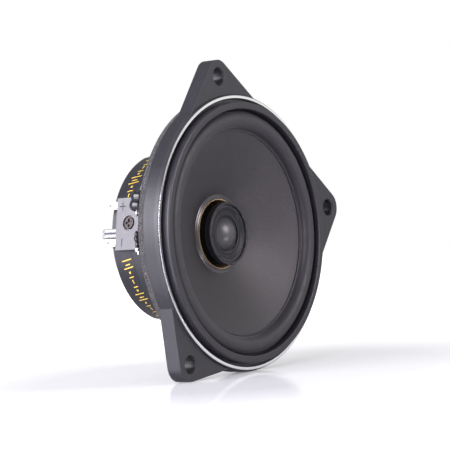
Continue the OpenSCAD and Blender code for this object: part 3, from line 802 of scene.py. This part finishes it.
gold = plain("band_gold", (0.72, 0.50, 0.075), 0.36, metal=0.25, vary=0.12, patch=2.0, grain=0.3, depth=0.005)
mark_r = LABEL_R + 0.012
per_degree = math.radians(1) * mark_r
BAND_Y, MARK_TALL, MARK_THIN = 22.4, 4.4, 0.42
MARKS = {  # how far on and up it starts, its width, height and lean, and the step to the next mark
    "stroke": (0.0, 0.0, MARK_THIN, MARK_TALL, 0.9, 1.5),
    "short": (0.45, MARK_TALL * 0.25, MARK_THIN, MARK_TALL * 0.5, 0.45, 1.5),
    "dot": (0.5, 1.8, 0.8, 0.8, 0.16, 2.0),
    "dash": (0.4, 2.0, 1.6, MARK_THIN, 0.1, 2.7),
}
BORDER = ["stroke", "short", "stroke", "dot", "short", "dash", "short", "dot"]


def marks_between(start, end):
    """A plain border of slanted strokes, dots and dashes along the band, between two angles."""
    out, s, widest = [], start * per_degree, 2.4
    for kind in itertools.cycle(BORDER):
        if s >= end * per_degree - widest:
            return out
        on, up, width, height, lean, step = MARKS[kind]
        out.append(slanted(s + on, BAND_Y + up, width, height, lean))
        s += step


strokes = marks_between(106, 152) + marks_between(191.5, 250)
piece("band_marks", *joined([band_mark(c, mark_r) for c in strokes]), None, CHASSIS,
      material=gold, smooth=False)

ink = plain("mark_ink", (0.007, 0.007, 0.009), 0.5, vary=0.2, patch=1.0)


def rounded_bar(y, z, half_y, half_z, x0, x1):
    """A small bar with round ends, on the block's face."""
    outline, r, steps = [], min(half_y, half_z), 24
    for k in range(steps):
        a = 2 * math.pi * k / steps
        outline.append((y + math.copysign(half_y - r, math.cos(a)) + r * math.cos(a),
                        z + math.copysign(half_z - r, math.sin(a)) + r * math.sin(a)))
    verts = [block(x, p, q) for x in (x0, x1) for p, q in outline]
    n = len(outline)
    faces = [tuple(range(n)), tuple(reversed(range(n, 2 * n)))]
    faces += [(k, k + n, (k + 1) % n + n, (k + 1) % n) for k in range(n)]
    return verts, faces


plus_y, plus_z, minus_y, minus_z = BLOCK_BACK_Y - 2.7, -6.2, BLOCK_BACK_Y - 3.02, 7.0
bar_long, bar_thin = 1.36, 0.15
bar_foot, bar_top = BLOCK_FACE_X - 0.28, BLOCK_FACE_X + 0.02
piece("polarity_marks", *joined([
    rounded_bar(plus_y, plus_z, bar_long, bar_thin, bar_foot, bar_top),
    rounded_bar(plus_y, plus_z, bar_thin, bar_long, bar_foot, bar_top + 0.004),
    rounded_bar(minus_y, minus_z, bar_thin, bar_long, bar_foot, bar_top)]),
    None, CHASSIS, material=ink, smooth=False)


# ---- room, lights and camera ----

FLOOR_GLOW = 0.16         # close to the speaker
FLOOR_GLOW_FAR = 1.00     # where it meets the white background
GLOW_STARTS = 0.09        # metres from the speaker's middle, where the glow begins to rise
GLOW_ENDS = 0.25
FLOOR_GLOSS = 0.34
FLOOR_HALF = 1.2          # metres
FLOOR_GAP = 0.00005


def floor():
    """A polished white table: it mirrors the speaker softly and shows hardly any shadow, under a painted glow
    that only the camera sees, faint near the speaker and full white far off.
    """
    s = Shader("floor_white")
    diffuse, glossy = s.add("ShaderNodeBsdfDiffuse"), s.add("ShaderNodeBsdfGlossy")
    glow, total = s.add("ShaderNodeEmission"), s.add("ShaderNodeAddShader")
    polished = s.add("ShaderNodeMixShader")
    diffuse.inputs[0].default_value = (0.60, 0.605, 0.62, 1)
    glossy.inputs[0].default_value = (1, 1, 1, 1)
    glossy.inputs["Roughness"].default_value = 0.10
    glow.inputs[0].default_value = (0.985, 0.99, 1, 1)
    seen = s.add("ShaderNodeLightPath").outputs["Is Camera Ray"]
    away = s.add("ShaderNodeVectorMath", operation="LENGTH")
    s.link(s.coords, away.inputs[0])
    strength = s.spread(away.outputs["Value"], GLOW_STARTS, GLOW_ENDS, FLOOR_GLOW, FLOOR_GLOW_FAR)
    s.link(s.math("MULTIPLY", seen, strength), glow.inputs[1])
    polished.inputs[0].default_value = FLOOR_GLOSS
    s.link(diffuse.outputs[0], polished.inputs[1])
    s.link(glossy.outputs[0], polished.inputs[2])
    s.link(polished.outputs[0], total.inputs[0])
    s.link(glow.outputs[0], total.inputs[1])
    s.link(total.outputs[0], s.output.inputs[0])
    s.tree.nodes.remove(s.bsdf)
    mesh = bpy.data.meshes.new("floor")
    z, size = FLOOR_Z - FLOOR_GAP, FLOOR_HALF
    corners = [(-size, -size, z), (size, -size, z), (size, size, z), (-size, size, z)]
    mesh.from_pydata(corners, [], [(0, 1, 2, 3)])
    mesh.materials.append(s.material)
    obj = bpy.data.objects.new("floor", mesh)
    bpy.context.scene.collection.objects.link(obj)


floor()


def area_light(name, direction, distance, size, radiance, color=(1, 1, 1)):
    """A soft box that faces the speaker. Its power follows from its brightness and size."""
    data = bpy.data.lights.new(name, "AREA")
    data.shape = "RECTANGLE"
    data.size, data.size_y = size
    data.energy = radiance * math.pi * size[0] * size[1]
    data.color = color
    lamp = bpy.data.objects.new(name, data)
    place = Vector(direction).normalized() * distance
    lamp.location = place
    lamp.rotation_euler = (-place).to_track_quat("-Z", "Y").to_euler()
    bpy.context.scene.collection.objects.link(lamp)


area_light("softbox_left", (-0.985, 0.12, 0.31), 0.80, (1.15, 0.48), 11.0, (0.92, 0.895, 1.0))
area_light("softbox_front", (0.22, -0.91, 0.33), 0.80, (0.20, 0.22), 30.0, (1.0, 0.93, 0.98))
area_light("softbox_top", (-0.2, 0.1, 1.0), 0.90, (0.60, 0.60), 0.8)


LOBES = [  # a direction, the closeness to it where it starts and ends, and its brightness at those
    ((0.10, -0.70, -0.70), 0.05, 0.75, 0.34, 0.10),
    ((0.78, -0.62, 0.05), 0.80, 0.94, 0.0, 0.68),
    ((0.80, 0.60, 0.0), 0.94, 0.985, 0.0, 0.48)]


def world():
    """White all round to the eye; as a light, it is bright to the front right and behind, and dim below."""
    w = bpy.data.worlds.new("studio")
    bpy.context.scene.world = w
    w.use_nodes = True
    tree = w.node_tree
    tree.nodes.clear()

    def add(kind, **settings):
        node = tree.nodes.new(kind)
        for key, value in settings.items():
            setattr(node, key, value)
        return node

    direction = add("ShaderNodeTexCoord").outputs["Generated"]

    def lobe(towards, start, end, low, high):
        """A brightness that goes from low to high as the direction turns towards one point."""
        dot = add("ShaderNodeVectorMath", operation="DOT_PRODUCT")
        tree.links.new(direction, dot.inputs[0])
        dot.inputs[1].default_value = Vector(towards).normalized()
        ramp = add("ShaderNodeMapRange")
        for socket, number in zip(ramp.inputs[1:5], (start, end, low, high)):
            socket.default_value = number
        tree.links.new(dot.outputs["Value"], ramp.inputs[0])
        return ramp.outputs[0]

    light = lobe(*LOBES[0])
    for settings in LOBES[1:]:
        total = add("ShaderNodeMath", operation="ADD")
        tree.links.new(light, total.inputs[0])
        tree.links.new(lobe(*settings), total.inputs[1])
        light = total.outputs[0]
    seen = add("ShaderNodeLightPath").outputs["Is Camera Ray"]
    strength = add("ShaderNodeMix", data_type="FLOAT")
    tree.links.new(seen, strength.inputs[0])
    tree.links.new(light, strength.inputs[2])
    strength.inputs[3].default_value = 1.0
    back = add("ShaderNodeBackground")
    back.inputs[0].default_value = (1, 1, 1, 1)
    tree.links.new(strength.outputs[0], back.inputs[1])
    out = add("ShaderNodeOutputWorld")
    tree.links.new(back.outputs[0], out.inputs[0])


world()

# a long lens, from the front left and level with the speaker's middle
camera_data = bpy.data.cameras.new("camera")
camera_data.sensor_width = 36.0
camera_data.lens = 160.0
camera = bpy.data.objects.new("camera", camera_data)
bpy.context.scene.collection.objects.link(camera)
right = Vector((0.59594478, -0.79968466, -0.07317282))
up = Vector((0.05082934, -0.05337393, 0.9972801))
forward = Vector((0.80141512, 0.5980432, -0.00883953))
place = Vector((-591.77, -439.63, 9.67)) * MM
camera.matrix_world = Matrix.Translation(place) @ Matrix((right, up, -forward)).transposed().to_4x4()
bpy.context.scene.camera = camera
bpy.context.scene.view_settings.view_transform = "Standard"
